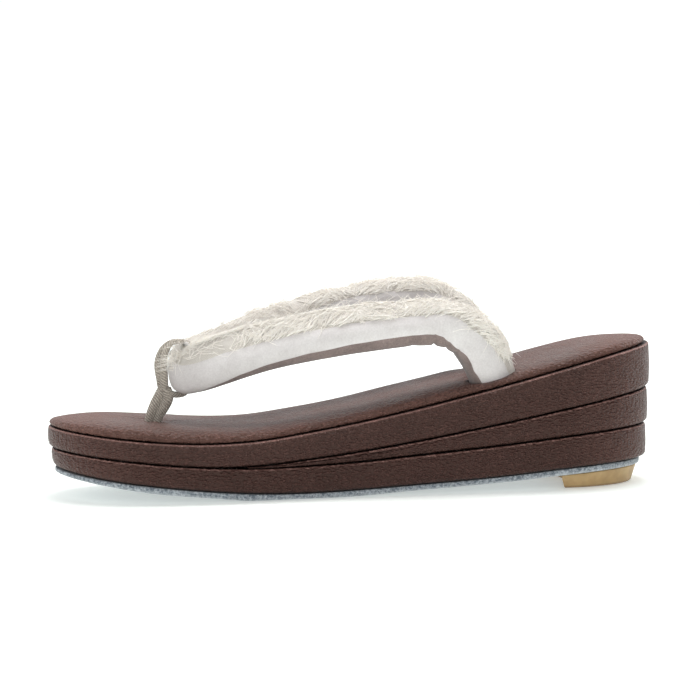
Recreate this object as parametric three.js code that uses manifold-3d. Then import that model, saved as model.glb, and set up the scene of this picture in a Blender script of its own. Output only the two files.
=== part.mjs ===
// A wedge zori sandal for formal kimono: a stack of leather-covered cork cores under a padded
// top, a thin suede outsole with a heel tap, and a padded strap held by a toe thong.
// Frame: X from the toe (-) to the heel (+), Y across, Z up, floor at Z = 0, millimetres.
import * as THREE from "three";
import { mergeVertices } from "three/addons/utils/BufferGeometryUtils.js";
import Module from "manifold-3d";

const wasm = await Module();
wasm.setup();

// ---- driving dimensions ----
const LENGTH = 240;
const BALL_HALF = 41.2;          // half width across the ball
const HEEL_HALF = 37.1;          // half width across the heel
const WAIST_DIP = 1.5;           // how far the waist draws in on each side
const TOE_ROUND = 50;            // length of the rounded toe end
const HEEL_ROUND = 47;           // length of the rounded heel end
const HEEL_SQUARE = 2.2;         // superellipse power of the heel; 2 would be a plain ellipse
const TOE_STEPS = 10;
const MID_STEPS = 11;
const HEEL_STEPS = 10;
const SEAM = 0.3;                // clearance between neighbouring pieces
const CLEAR = 0.3;               // clearance of a strap or thong in its hole
const WEDGE_START = -45;         // where the middle core begins

// Side profile of the sole. Each column is a height at that x:
// floor = outsole underside, base = outsole top, wedge = lower core top,
// rise = upper core underside, seat = upper core top, crown = thickness of the padded top.
// Where floor is below zero the outsole is pressed flat on the floor, under the ball.
const SOLE = [
  { x: -120, floor: 10.3, base: 12.0, wedge: 19.5, rise: 19.5, seat: 28.1, crown: 3.2 },
  { x: -100, floor: 6.8, base: 8.9, wedge: 17.2, rise: 17.2, seat: 25.6, crown: 5.1 },
  { x: -80, floor: 3.8, base: 6.4, wedge: 15.1, rise: 15.1, seat: 23.6, crown: 5.2 },
  { x: -60, floor: 1.7, base: 4.1, wedge: 13.3, rise: 13.3, seat: 22.5, crown: 4.6 },
  { x: -40, floor: -0.3, base: 2.5, wedge: 12.5, rise: 13.4, seat: 23.2, crown: 4.0 },
  { x: -20, floor: -0.3, base: 2.1, wedge: 12.7, rise: 15.3, seat: 25.9, crown: 4.0 },
  { x: 0, floor: 0.3, base: 2.7, wedge: 13.6, rise: 17.7, seat: 29.2, crown: 4.3 },
  { x: 20, floor: 1.5, base: 3.7, wedge: 15.2, rise: 20.6, seat: 33.2, crown: 4.9 },
  { x: 40, floor: 2.6, base: 4.8, wedge: 16.8, rise: 24.0, seat: 37.7, crown: 4.7 },
  { x: 60, floor: 3.9, base: 6.3, wedge: 18.6, rise: 27.6, seat: 42.5, crown: 4.3 },
  { x: 80, floor: 5.6, base: 8.1, wedge: 20.7, rise: 31.5, seat: 47.6, crown: 4.3 },
  { x: 100, floor: 6.8, base: 9.3, wedge: 22.4, rise: 35.1, seat: 52.3, crown: 4.3 },
  { x: 120, floor: 7.4, base: 9.9, wedge: 23.6, rise: 38.2, seat: 56.0, crown: 3.2 },
];

// Edge of a leather-wrapped core, bottom to top. tuck = how far in from the outline;
// low = height above the underside, high = depth below the top, mid = halfway up.
const CORE_EDGE = [
  { tuck: 1.6, low: 0 },
  { tuck: 0.5, low: 0.45 },
  { tuck: 0.05, low: 1.4 },
  { tuck: -0.2, mid: 0.5 },
  { tuck: 0.05, high: 1.4 },
  { tuck: 0.5, high: 0.45 },
  { tuck: 1.6, high: 0 },
];
const EDGE_ROUND = 1.4;          // depth that the rounded edge takes from top and bottom

// Edge of the padded top, bottom to crown. over = height above the upper core, where the
// padding is as thick as PAD_CROWN.
const PAD_CROWN = 5.2;
const PAD_EDGE = [
  { tuck: 1.1, over: 0 },
  { tuck: 0.3, over: 0.4 },
  { tuck: 0.0, over: 1.3 },
  { tuck: 0.2, over: 2.3 },
  { tuck: 1.0, over: 3.3 },
  { tuck: 2.6, over: 4.0 },
  { tuck: 6.0, over: 4.7 },
  { tuck: 13.0, over: 5.2 },
];

// Edge of the thin outsole.
const OUTSOLE_EDGE = [
  { tuck: 0.3, low: 0 },
  { tuck: 0, low: 0.3 },
  { tuck: 0, high: 0.3 },
  { tuck: 0.3, high: 0 },
];

// Heel tap: a crescent that follows the heel and hollows in towards it at the front.
const TAP = { front: 78, hollow: 6, inset: 5.2, taper: 2.6, steps: 6 };

// The strap, one padded length of cloth from hole to hole. Each row is a section across it:
// x, y, z = centre, wide = across the strap, thick = lining to crown, lean = degrees that its
// outer edge is lifted. It stands on its outer edge in the short straight nose, where the
// thong loops round it, and lies nearly flat at the top of each arch.
const NOSE = [
  { x: -67.8, y: -2.4, z: 49.8, wide: 15.4, thick: 7.6, lean: -88 },
  { x: -67.8, y: 2.4, z: 49.8, wide: 15.4, thick: 7.6, lean: -88 },
];
const NEAR_ARM = [
  { x: -66.0, y: -5.8, z: 47.7, wide: 17.4, thick: 7.8, lean: -87 },
  { x: -60.6, y: -8.8, z: 49.2, wide: 18.8, thick: 8.8, lean: -80 },
  { x: -46.0, y: -12.6, z: 53.9, wide: 20.0, thick: 11.0, lean: -62 },
  { x: -30.0, y: -16.2, z: 57.9, wide: 20.0, thick: 12.4, lean: -50 },
  { x: -12.0, y: -19.6, z: 61.1, wide: 20.4, thick: 13.2, lean: -42 },
  { x: 6.0, y: -22.2, z: 63.4, wide: 20.6, thick: 13.8, lean: -36 },
  { x: 22.0, y: -23.8, z: 64.7, wide: 20.2, thick: 14.2, lean: -30 },
  { x: 33.0, y: -24.6, z: 63.9, wide: 19.4, thick: 16.6, lean: -20 },
  { x: 40.6, y: -24.8, z: 60.2, wide: 18.0, thick: 18.6, lean: -8 },
  { x: 45.4, y: -24.6, z: 55.4, wide: 16.8, thick: 19.4, lean: 0 },
  { x: 48.8, y: -24.4, z: 49.2, wide: 15.8, thick: 19.2, lean: 0 },
  { x: 51.0, y: -24.2, z: 43.4, wide: 15.2, thick: 18.4, lean: 0 },
  { x: 52.6, y: -24.0, z: 38.0, wide: 14.6, thick: 17.0, lean: 0 },
];
const FAR_ARM = [
  { x: -66.0, y: 5.8, z: 48.3, wide: 18.2, thick: 7.8, lean: -87 },
  { x: -60.6, y: 8.8, z: 50.4, wide: 19.0, thick: 8.8, lean: -78 },
  { x: -46.0, y: 12.6, z: 57.0, wide: 20.0, thick: 11.0, lean: -54 },
  { x: -30.0, y: 16.2, z: 63.2, wide: 20.0, thick: 12.4, lean: -34 },
  { x: -12.0, y: 19.8, z: 67.6, wide: 19.6, thick: 13.2, lean: -18 },
  { x: 6.0, y: 22.6, z: 71.0, wide: 19.4, thick: 14.0, lean: -8 },
  { x: 22.0, y: 24.4, z: 72.5, wide: 19.2, thick: 14.6, lean: -2 },
  { x: 36.5, y: 25.2, z: 71.4, wide: 18.8, thick: 15.4, lean: 0 },
  { x: 46.8, y: 25.2, z: 64.6, wide: 17.8, thick: 15.6, lean: 0 },
  { x: 52.0, y: 24.8, z: 56.4, wide: 16.8, thick: 15.4, lean: 0 },
  { x: 54.8, y: 24.4, z: 49.4, wide: 15.8, thick: 14.8, lean: 0 },
  { x: 56.6, y: 24.2, z: 43.4, wide: 15.2, thick: 14.2, lean: 0 },
  { x: 57.8, y: 24.0, z: 38.0, wide: 14.6, thick: 13.4, lean: 0 },
];
const STRAP_STEPS = 3;           // sections between two rows
const STRAP_SIDES = 22;
const CROWN_SHARE = 0.58;        // part of the thickness above the widest line
const CROWN_POWER = 2.3;         // roundness of the crown and of the lining side
const LINING_POWER = 3.0;

// The toe thong: two soft rolls side by side. Each loops round the nose of the strap and
// goes down through the top. r = radius of the roll.
const LOOP_NEAR = [
  { x: -74.2, y: -1.35, z: 41.0, r: 1.6 },
  { x: -74.6, y: -1.5, z: 45.5, r: 1.8 },
  { x: -74.7, y: -1.5, z: 50.5, r: 1.7 },
  { x: -74.0, y: -1.35, z: 55.4, r: 1.3 },
  { x: -71.2, y: -1.1, z: 58.7, r: 1.0 },
  { x: -66.6, y: -1.1, z: 58.9, r: 1.0 },
  { x: -63.4, y: -1.1, z: 55.4, r: 1.0 },
  { x: -62.9, y: -1.1, z: 49.4, r: 1.0 },
  { x: -63.6, y: -1.1, z: 42.6, r: 1.0 },
  { x: -66.6, y: -1.1, z: 38.8, r: 1.0 },
  { x: -70.8, y: -1.2, z: 38.6, r: 1.2 },
];
const LOOP_FAR = [
  { x: -74.8, y: 1.35, z: 41.0, r: 1.6 },
  { x: -76.2, y: 1.4, z: 45.5, r: 1.3 },
  { x: -76.8, y: 1.4, z: 50.5, r: 1.2 },
  { x: -75.4, y: 1.3, z: 55.6, r: 1.1 },
  { x: -71.8, y: 1.1, z: 59.0, r: 1.0 },
  { x: -66.6, y: 1.1, z: 59.2, r: 1.0 },
  { x: -63.2, y: 1.1, z: 55.6, r: 1.0 },
  { x: -62.9, y: 1.1, z: 49.4, r: 1.0 },
  { x: -63.6, y: 1.1, z: 42.6, r: 1.0 },
  { x: -66.6, y: 1.1, z: 38.8, r: 1.0 },
  { x: -71.0, y: 1.2, z: 38.6, r: 1.2 },
];
const STEM_FRONT = [
  { x: -74.8, y: 0.9, z: 41.6, r: 1.7 },
  { x: -76.2, y: 0.7, z: 38.0, r: 2.2 },
  { x: -78.4, y: 0.3, z: 34.0, r: 2.1 },
  { x: -80.0, y: 0.0, z: 30.4, r: 1.8 },
  { x: -80.9, y: 0.0, z: 26.5, r: 1.7 },
  { x: -81.4, y: 0.0, z: 22.0, r: 1.7 },
];
const STEM_REAR = [
  { x: -73.4, y: -0.9, z: 41.4, r: 1.7 },
  { x: -73.0, y: -0.7, z: 37.4, r: 2.2 },
  { x: -74.6, y: -0.3, z: 33.6, r: 2.1 },
  { x: -76.7, y: 0.0, z: 30.2, r: 1.8 },
  { x: -77.8, y: 0.0, z: 26.5, r: 1.7 },
  { x: -78.3, y: 0.0, z: 22.0, r: 1.7 },
];
const ROLL_SIDES = 10;

// ---- smooth columns ----
// Value of a column of a table at x, through all its rows.
function columnAt(rows, key, x) {
  const last = rows.length - 1;
  let i = 0;
  while (i < last - 1 && x > rows[i + 1].x) {
    i += 1;
  }
  const slope = (a, b) => (rows[b][key] - rows[a][key]) / (rows[b].x - rows[a].x);
  const tangent = (j) => slope(Math.max(j - 1, 0), Math.min(j + 1, last));
  const span = rows[i + 1].x - rows[i].x;
  const t = THREE.MathUtils.clamp((x - rows[i].x) / span, 0, 1);
  const startPull = tangent(i) * span;
  const endPull = tangent(i + 1) * span;
  const cube = 2 * (rows[i][key] - rows[i + 1][key]) + startPull + endPull;
  const square = 3 * (rows[i + 1][key] - rows[i][key]) - 2 * startPull - endPull;
  return ((cube * t + square) * t + startPull) * t + rows[i][key];
}

// A row of a table at fraction t after row i, all columns at once.
function rowBetween(rows, i, t, closed) {
  const count = rows.length;
  const pick = (j) => (closed ? rows[(j + count) % count] : rows[THREE.MathUtils.clamp(j, 0, count - 1)]);
  const [a, b, c, d] = [pick(i - 1), pick(i), pick(i + 1), pick(i + 2)];
  const row = {};
  for (const key of Object.keys(b)) {
    const pullIn = (c[key] - a[key]) / 2;
    const pullOut = (d[key] - b[key]) / 2;
    const cube = 2 * (b[key] - c[key]) + pullIn + pullOut;
    const square = 3 * (c[key] - b[key]) - 2 * pullIn - pullOut;
    row[key] = ((cube * t + square) * t + pullIn) * t + b[key];
  }
  return row;
}

function refine(rows, steps, closed) {
  const fine = [];
  const spans = closed ? rows.length : rows.length - 1;
  for (let i = 0; i < spans; i += 1) {
    for (let k = 0; k < steps; k += 1) {
      fine.push(rowBetween(rows, i, k / steps, closed));
    }
  }
  if (!closed) {
    fine.push({ ...rows[rows.length - 1] });
  }
  return fine;
}

const floorAt = (x) => Math.max(0, columnAt(SOLE, "floor", x));
const baseAt = (x) => columnAt(SOLE, "base", x);
const wedgeAt = (x) => columnAt(SOLE, "wedge", x);
const riseAt = (x) => Math.max(columnAt(SOLE, "rise", x), wedgeAt(x));
const seatAt = (x) => columnAt(SOLE, "seat", x);

// ---- outline of the sole ----
// Half outline from the toe tip to the heel tip, each point with its outward direction.
function halfOutline() {
  const toeCentre = -LENGTH / 2 + TOE_ROUND;
  const heelCentre = LENGTH / 2 - HEEL_ROUND;
  const points = [];
  for (let i = 0; i < TOE_STEPS; i += 1) {
    const angle = (i / TOE_STEPS) * (Math.PI / 2);
    points.push([toeCentre - TOE_ROUND * Math.cos(angle), BALL_HALF * Math.sin(angle)]);
  }
  for (let i = 0; i <= MID_STEPS; i += 1) {
    const u = i / MID_STEPS;
    const blend = u * u * (3 - 2 * u);
    const dip = WAIST_DIP * Math.sin(Math.PI * u) ** 2;
    const half = BALL_HALF + (HEEL_HALF - BALL_HALF) * blend - dip;
    points.push([toeCentre + (heelCentre - toeCentre) * u, half]);
  }
  for (let i = 1; i <= HEEL_STEPS; i += 1) {
    const angle = (i / HEEL_STEPS) * (Math.PI / 2);
    const along = Math.max(Math.sin(angle), 0) ** (2 / HEEL_SQUARE);
    const across = Math.max(Math.cos(angle), 0) ** (2 / HEEL_SQUARE);
    points.push([heelCentre + HEEL_ROUND * along, i === HEEL_STEPS ? 0 : HEEL_HALF * across]);
  }
  const last = points.length - 1;
  return points.map(([x, y], i) => {
    if (i === 0) {
      return { x, y, nx: -1, ny: 0 };
    }
    if (i === last) {
      return { x, y, nx: 1, ny: 0 };
    }
    const dx = points[i + 1][0] - points[i - 1][0];
    const dy = points[i + 1][1] - points[i - 1][1];
    const size = Math.hypot(dx, dy);
    return { x, y, nx: -dy / size, ny: dx / size };
  });
}

const OUTLINE = halfOutline();

// ---- closed bodies from rings ----
function toGeometry(vertices, triangles) {
  const geometry = new THREE.BufferGeometry();
  geometry.setAttribute("position", new THREE.Float32BufferAttribute(vertices, 3));
  geometry.setIndex(triangles);
  return geometry;
}

// One layer of the sole: rings round the outline from the underside to the top, closed by
// strips across. inset(x) draws the whole layer in; heightAt(edge, x) places each ring.
function layer(edges, inset, heightAt, tuckAt = (edge) => edge.tuck) {
  const half = OUTLINE.length;
  const around = 2 * half - 2;
  const vertices = [];
  const triangles = [];
  for (const edge of edges) {
    for (let k = 0; k < around; k += 1) {
      const point = OUTLINE[k < half ? k : around - k];
      const side = k < half ? 1 : -1;
      const shift = inset(point.x) + tuckAt(edge, point.x);
      const x = point.x - point.nx * shift;
      const y = side * (point.y - point.ny * shift);
      vertices.push(x, y, heightAt(edge, x));
    }
  }
  for (let ring = 0; ring < edges.length - 1; ring += 1) {
    for (let k = 0; k < around; k += 1) {
      const a = ring * around + k;
      const b = ring * around + ((k + 1) % around);
      triangles.push(b, a, a + around, b, a + around, b + around);
    }
  }
  const top = (edges.length - 1) * around;
  for (let k = 0; k < half - 1; k += 1) {
    const right = [k, k + 1];
    const left = [(around - k) % around, around - k - 1];
    const quads = [];
    if (k > 0) {
      quads.push([left[0], left[1], right[0]]);
    }
    if (k < half - 2) {
      quads.push([left[1], right[1], right[0]]);
    }
    for (const [a, b, c] of quads) {
      triangles.push(top + a, top + b, top + c);
      triangles.push(a, c, b);
    }
  }
  return toGeometry(vertices, triangles);
}

// Height of a core edge ring; where the core is thin its rounding shrinks to fit.
function coreHeight(under, over) {
  return (edge, x) => {
    const thick = over(x) - under(x);
    const fit = Math.min(1, thick / (2.6 * EDGE_ROUND));
    if (edge.low !== undefined) {
      return under(x) + edge.low * fit;
    }
    if (edge.high !== undefined) {
      return over(x) - edge.high * fit;
    }
    return under(x) + thick * edge.mid;
  };
}

// A loft through rings of points, closed at both ends or joined end to end.
function skin(rings, closed) {
  const sides = rings[0].length;
  const vertices = rings.flat().flatMap((p) => [p.x, p.y, p.z]);
  const triangles = [];
  const spans = closed ? rings.length : rings.length - 1;
  for (let i = 0; i < spans; i += 1) {
    const next = (i + 1) % rings.length;
    for (let k = 0; k < sides; k += 1) {
      const a = i * sides + k;
      const b = i * sides + ((k + 1) % sides);
      const c = next * sides + k;
      const d = next * sides + ((k + 1) % sides);
      triangles.push(a, b, d, a, d, c);
    }
  }
  if (!closed) {
    for (const end of [0, rings.length - 1]) {
      const middle = new THREE.Vector3();
      rings[end].forEach((p) => middle.addScaledVector(p, 1 / sides));
      const hub = vertices.length / 3;
      vertices.push(middle.x, middle.y, middle.z);
      for (let k = 0; k < sides; k += 1) {
        const a = end * sides + k;
        const b = end * sides + ((k + 1) % sides);
        triangles.push(...(end === 0 ? [hub, b, a] : [hub, a, b]));
      }
    }
  }
  return toGeometry(vertices, triangles);
}

// Ring of points across a path: outline(k) gives [out, up] in the section's own plane.
function crossSection(rows, i, closed, sides, outline) {
  const count = rows.length;
  const before = rows[closed ? (i - 1 + count) % count : Math.max(i - 1, 0)];
  const after = rows[closed ? (i + 1) % count : Math.min(i + 1, count - 1)];
  const row = rows[i];
  const along = new THREE.Vector3(after.x - before.x, after.y - before.y, after.z - before.z);
  along.normalize();
  const reference = closed || row.r ? new THREE.Vector3(0, 1, 0) : new THREE.Vector3(0, 0, 1);
  const out = new THREE.Vector3().crossVectors(reference, along).normalize();
  const up = new THREE.Vector3().crossVectors(along, out);
  const ring = [];
  for (let k = 0; k < sides; k += 1) {
    const [u, v] = outline(row, (k / sides) * Math.PI * 2);
    ring.push(new THREE.Vector3(row.x, row.y, row.z).addScaledVector(out, u).addScaledVector(up, v));
  }
  return ring;
}

function power(value, exponent) {
  return Math.sign(value) * Math.abs(value) ** exponent;
}

// Padded strap section: a domed crown over a flatter lining, leaned about the path.
function strapOutline(grow) {
  return (row, angle) => {
    const exponent = 2 / (Math.sin(angle) >= 0 ? CROWN_POWER : LINING_POWER);
    const share = Math.sin(angle) >= 0 ? CROWN_SHARE : 1 - CROWN_SHARE;
    const u = (row.wide / 2 + grow) * power(Math.cos(angle), exponent);
    const v = (row.thick * share + grow) * power(Math.sin(angle), exponent);
    const lean = THREE.MathUtils.degToRad(row.lean);
    return [u * Math.cos(lean) - v * Math.sin(lean), u * Math.sin(lean) + v * Math.cos(lean)];
  };
}

function strap(rows, grow = 0) {
  const rings = rows.map((_, i) => crossSection(rows, i, false, STRAP_SIDES, strapOutline(grow)));
  return skin(rings, false);
}

function roll(rows, closed, grow = 0) {
  const fine = refine(rows, 2, closed);
  const outline = (row, angle) => [(row.r + grow) * Math.cos(angle), (row.r + grow) * Math.sin(angle)];
  return skin(fine.map((_, i) => crossSection(fine, i, closed, ROLL_SIDES, outline)), closed);
}

// ---- joining and cutting ----
function toManifold(geometry) {
  const bare = geometry.clone();
  bare.deleteAttribute("normal");
  bare.deleteAttribute("uv");
  const welded = mergeVertices(bare, 1e-4);
  const mesh = new wasm.Mesh({
    numProp: 3,
    vertProperties: new Float32Array(welded.attributes.position.array),
    triVerts: new Uint32Array(welded.index.array),
  });
  return new wasm.Manifold(mesh);
}

function fromManifold(solid) {
  const mesh = solid.getMesh();
  return toGeometry(Array.from(mesh.vertProperties), Array.from(mesh.triVerts));
}

const box = (sx, sy, sz, x, y, z) => toManifold(new THREE.BoxGeometry(sx, sy, sz).translate(x, y, z));

// ---- the strap and the thong ----
const strapRows = refine([...NEAR_ARM].reverse().concat(NOSE, FAR_ARM), STRAP_STEPS, false);
const tail = 3 * STRAP_STEPS + 1;

// The same rows with one end pushed out by the clearance, for cutting a hole.
function deepened(rows, end) {
  const inner = rows[end === 0 ? 1 : end - 1];
  const tip = rows[end];
  const reach = 1 + CLEAR / Math.hypot(tip.x - inner.x, tip.y - inner.y, tip.z - inner.z);
  const pushed = { ...tip };
  for (const key of ["x", "y", "z"]) {
    pushed[key] = inner[key] + (tip[key] - inner[key]) * reach;
  }
  return rows.map((row, i) => (i === end ? pushed : row));
}

const nearTail = strap(deepened(strapRows.slice(0, tail), 0), CLEAR);
const farTail = strap(deepened(strapRows.slice(-tail), tail - 1), CLEAR);

function thongSolid(grow) {
  const last = STEM_FRONT.length - 1;
  if (grow > 0) {
    const front = toManifold(roll(deepened(STEM_FRONT, last), false, grow));
    return front.add(toManifold(roll(deepened(STEM_REAR, last), false, grow)));
  }
  const stems = toManifold(roll(STEM_FRONT, false)).add(toManifold(roll(STEM_REAR, false)));
  return stems.add(toManifold(roll(LOOP_NEAR, true))).add(toManifold(roll(LOOP_FAR, true)));
}

const holes = toManifold(nearTail).add(toManifold(farTail)).add(thongSolid(CLEAR));

// ---- the sole ----
const padInset = (x) => 0.5 + (1.3 * (x + LENGTH / 2)) / LENGTH;
const padHeight = (edge, x) => seatAt(x) + SEAM / 2 + (edge.over * columnAt(SOLE, "crown", x)) / PAD_CROWN;
const pad = layer(PAD_EDGE, padInset, padHeight);

const upperHeight = coreHeight((x) => riseAt(x) + SEAM / 2, (x) => seatAt(x) - SEAM / 2);
const upper = layer(CORE_EDGE, () => 0, upperHeight);

// The wedge keeps a little thickness ahead of its start, and is then cut square there.
const wedgeUnder = (x) => wedgeAt(x) + SEAM / 2;
const wedgeOver = (x) => Math.max(riseAt(x) - SEAM / 2, wedgeUnder(x) + 0.4);
const middle = layer(CORE_EDGE, () => 0.8, coreHeight(wedgeUnder, wedgeOver));
const ahead = box(LENGTH, LENGTH, LENGTH, WEDGE_START - LENGTH / 2, 0, 0);

// The lower core's front face rakes back towards the outsole.
const TOE_RAKE = 0.8;
const lowerInset = (x) => 1.0 + (0.6 * (x + LENGTH / 2)) / LENGTH;
const lowerRake = (edge, x) => {
  const toe = THREE.MathUtils.smoothstep(-x, 85, 118);
  const share = edge.low !== undefined ? 1 : (edge.mid ?? 0);
  return edge.tuck + TOE_RAKE * toe * share;
};
const lowerHeight = coreHeight((x) => baseAt(x) + SEAM / 2, (x) => wedgeAt(x) - SEAM / 2);
const lower = layer(CORE_EDGE, lowerInset, lowerHeight, lowerRake);

const outsoleInset = (x) => 2.4 + (1.8 * (x + LENGTH / 2)) / LENGTH;
const outsoleHeight = (edge, x) => {
  if (edge.low !== undefined) {
    return floorAt(x) + edge.low;
  }
  return baseAt(x) - SEAM / 2 - edge.high;
};
const outsole = layer(OUTSOLE_EDGE, outsoleInset, outsoleHeight);

// ---- the heel tap ----
function tapRing(inset, heightAt) {
  const side = OUTLINE.filter((point) => point.x > TAP.front + TAP.hollow);
  const rear = side.map((point) => [point.x - point.nx * inset, point.y - point.ny * inset]);
  const half = rear[0][1] + 0.4;
  const front = TAP.front + (inset - TAP.inset) * 0.7;
  const ring = rear.map(([x, y]) => [x, -y]);
  ring.push(...rear.slice(0, -1).reverse());
  for (let k = 0; k <= TAP.steps; k += 1) {
    const share = 1 - (2 * k) / TAP.steps;
    ring.push([front + TAP.hollow * (1 - share * share), half * share]);
  }
  return ring.map(([x, y]) => new THREE.Vector3(x, y, heightAt(x)));
}
const tapTop = (x) => floorAt(x) - SEAM;
const tapFoot = TAP.inset + TAP.taper;
const tapRings = [tapRing(tapFoot, () => 0), tapRing(tapFoot - 0.4, () => 0.5), tapRing(TAP.inset, tapTop)];
const tap = skin(tapRings, false);

// ---- assembly ----
const sandal = new THREE.Group();
sandal.name = "zori_sandal";

function addPiece(name, geometry, color, roughness) {
  const material = new THREE.MeshStandardMaterial({ color, roughness, metalness: 0 });
  geometry.computeVertexNormals();
  const mesh = new THREE.Mesh(geometry, material);
  mesh.name = name;
  sandal.add(mesh);
}

addPiece("outsole", outsole, 0x7c8790, 0.9);
addPiece("heel_tap", tap, 0xd9b676, 0.5);
addPiece("lower_core", lower, 0x4a2c28, 0.45);
addPiece("middle_core", fromManifold(toManifold(middle).subtract(ahead)), 0x4a2c28, 0.45);
addPiece("upper_core", fromManifold(toManifold(upper).subtract(holes)), 0x4a2c28, 0.45);
addPiece("top_pad", fromManifold(toManifold(pad).subtract(holes)), 0x5c3f3a, 0.45);
addPiece("hanao_strap", strap(strapRows), 0xe6e2df, 0.85);
addPiece("toe_thong", fromManifold(thongSolid(0)), 0xa39c90, 0.9);

export default sandal;
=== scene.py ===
import math
import random

import bmesh
import bpy
from mathutils import Matrix, Vector, noise


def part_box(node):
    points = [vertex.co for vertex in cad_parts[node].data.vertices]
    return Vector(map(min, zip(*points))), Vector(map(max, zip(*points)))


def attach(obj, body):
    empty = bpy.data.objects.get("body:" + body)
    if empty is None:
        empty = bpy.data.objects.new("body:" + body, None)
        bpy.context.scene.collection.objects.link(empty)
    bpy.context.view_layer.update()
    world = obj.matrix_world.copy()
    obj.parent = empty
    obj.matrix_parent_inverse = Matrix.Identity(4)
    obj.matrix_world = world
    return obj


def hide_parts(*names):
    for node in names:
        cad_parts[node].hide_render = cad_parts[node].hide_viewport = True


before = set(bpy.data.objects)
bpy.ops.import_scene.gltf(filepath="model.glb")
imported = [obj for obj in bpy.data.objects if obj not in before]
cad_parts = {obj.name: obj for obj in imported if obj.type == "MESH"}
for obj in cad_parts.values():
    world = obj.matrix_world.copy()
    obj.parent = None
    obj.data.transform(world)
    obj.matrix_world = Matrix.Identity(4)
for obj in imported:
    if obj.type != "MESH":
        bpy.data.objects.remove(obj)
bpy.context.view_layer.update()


# ------------------------------
# Camera: a long lens low at the side, a little turned towards the toe, and tipped a
# little in its own plane.
# ------------------------------
AZIMUTH = math.radians(-7.2256)
ELEVATION = math.radians(3.6665)
ROLL = math.radians(0.9376)
DISTANCE = 0.9
LENS = 116.24
SENSOR = 36.0
AIM = Vector((0.0, 0.0, 0.040))
AIM_RIGHT = -0.000278
AIM_UP = 0.014288

back = Vector(
    (
        math.sin(AZIMUTH) * math.cos(ELEVATION),
        -math.cos(AZIMUTH) * math.cos(ELEVATION),
        math.sin(ELEVATION),
    )
)
right = Vector((math.cos(AZIMUTH), math.sin(AZIMUTH), 0.0))
up = back.cross(right)
target = AIM + AIM_RIGHT * right + AIM_UP * up
rolled_right = math.cos(ROLL) * right - math.sin(ROLL) * up
rolled_up = math.sin(ROLL) * right + math.cos(ROLL) * up
turn = Matrix((rolled_right, rolled_up, back)).transposed().to_4x4()

camera_data = bpy.data.cameras.new("camera")
camera_data.lens = LENS
camera_data.sensor_width = SENSOR
camera = bpy.data.objects.new("camera", camera_data)
bpy.context.scene.collection.objects.link(camera)
camera.matrix_world = Matrix.Translation(target + DISTANCE * back) @ turn
bpy.context.scene.camera = camera


# ------------------------------
# Studio: a white sweep for a floor, and soft round lamps overhead, in front and at the
# rear. The surround is white beyond the sandal and falls to grey behind the camera.
# ------------------------------
def set_up(node, *inputs, **values):
    """Give a node its settings and inputs. Another node's output is linked in."""

    def fill(socket, value):
        if isinstance(value, bpy.types.NodeSocket):
            node.id_data.links.new(value, socket)
        else:
            socket.default_value = value

    for key, value in values.items():
        if hasattr(node, key):
            setattr(node, key, value)
        else:
            fill(node.inputs[key.replace("_", " ")], value)
    for socket, value in zip(node.inputs, inputs):
        fill(socket, value)
    return node


def adder(tree):
    """A function that adds a node of a kind to the tree and sets it up."""

    def add(kind, *inputs, **values):
        return set_up(tree.nodes.new("ShaderNode" + kind), *inputs, **values)

    return add


def node_material(name):
    """A new material, its Principled shader, and a function that adds nodes to it."""
    material = bpy.data.materials.new(name)
    material.use_nodes = True
    tree = material.node_tree
    return material, tree.nodes["Principled BSDF"], adder(tree)


def map_range(add, value, spread, result=(0.0, 1.0), smooth=True):
    """value carried from the range spread to the range result and held at its ends."""
    node = add(
        "MapRange",
        interpolation_type="SMOOTHSTEP" if smooth else "LINEAR",
        Value=value,
        From_Min=spread[0],
        From_Max=spread[1],
        To_Min=result[0],
        To_Max=result[1],
    )
    return node.outputs["Result"]


def deselect_all():
    if bpy.context.mode != "OBJECT":
        bpy.ops.object.mode_set(mode="OBJECT")
    bpy.ops.object.select_all(action="DESELECT")


deselect_all()
bpy.ops.mesh.primitive_plane_add(size=60.0, location=(0.0, 0.0, -0.0002))
floor = bpy.context.active_object
floor.name = "floor"
floor_material, floor_shader, add = node_material("pale_floor")
# Far from the lamps the floor glows a little more, so that it stays an even white.
reach = add("VectorMath", add("TexCoord").outputs["Object"], operation="LENGTH")
set_up(
    floor_shader,
    Base_Color=(0.84, 0.89, 0.855, 1.0),
    Roughness=0.6,
    Emission_Color=(1.0, 1.0, 0.995, 1.0),
    Emission_Strength=map_range(add, reach.outputs["Value"], (0.25, 1.1), (0.30, 0.72)),
)
floor.data.materials.append(floor_material)

world = bpy.data.worlds.new("studio_white")
world.use_nodes = True
add = adder(world.node_tree)
heading = add("SeparateXYZ", add("TexCoord").outputs["Generated"])
set_up(
    world.node_tree.nodes["Background"],
    Color=(1.0, 1.0, 1.0, 1.0),
    Strength=map_range(add, heading.outputs["Y"], (-0.35, 0.65), (0.24, 1.02)),
)
bpy.context.scene.world = world
bpy.context.scene.view_settings.view_transform = "Standard"

LIGHTS = (
    # name, place, size, power
    ("overhead_softbox", (0.05, 0.1, 0.95), 0.6, 7.5),
    ("front_softbox", (-0.3, -1.2, 0.55), 0.7, 5.0),
    ("rear_softbox", (0.9, 0.6, 0.6), 0.6, 2.0),
)
LIT_SPOT = Vector((0.0, 0.0, 0.03))
for name, place, size, power in LIGHTS:
    bpy.ops.object.light_add(type="AREA", location=place)
    lamp = bpy.context.active_object
    lamp.name = name
    lamp.data.shape = "DISK"
    lamp.data.size = size
    lamp.data.energy = power
    lamp.rotation_euler = (LIT_SPOT - Vector(place)).to_track_quat("-Z", "Y").to_euler()


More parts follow.
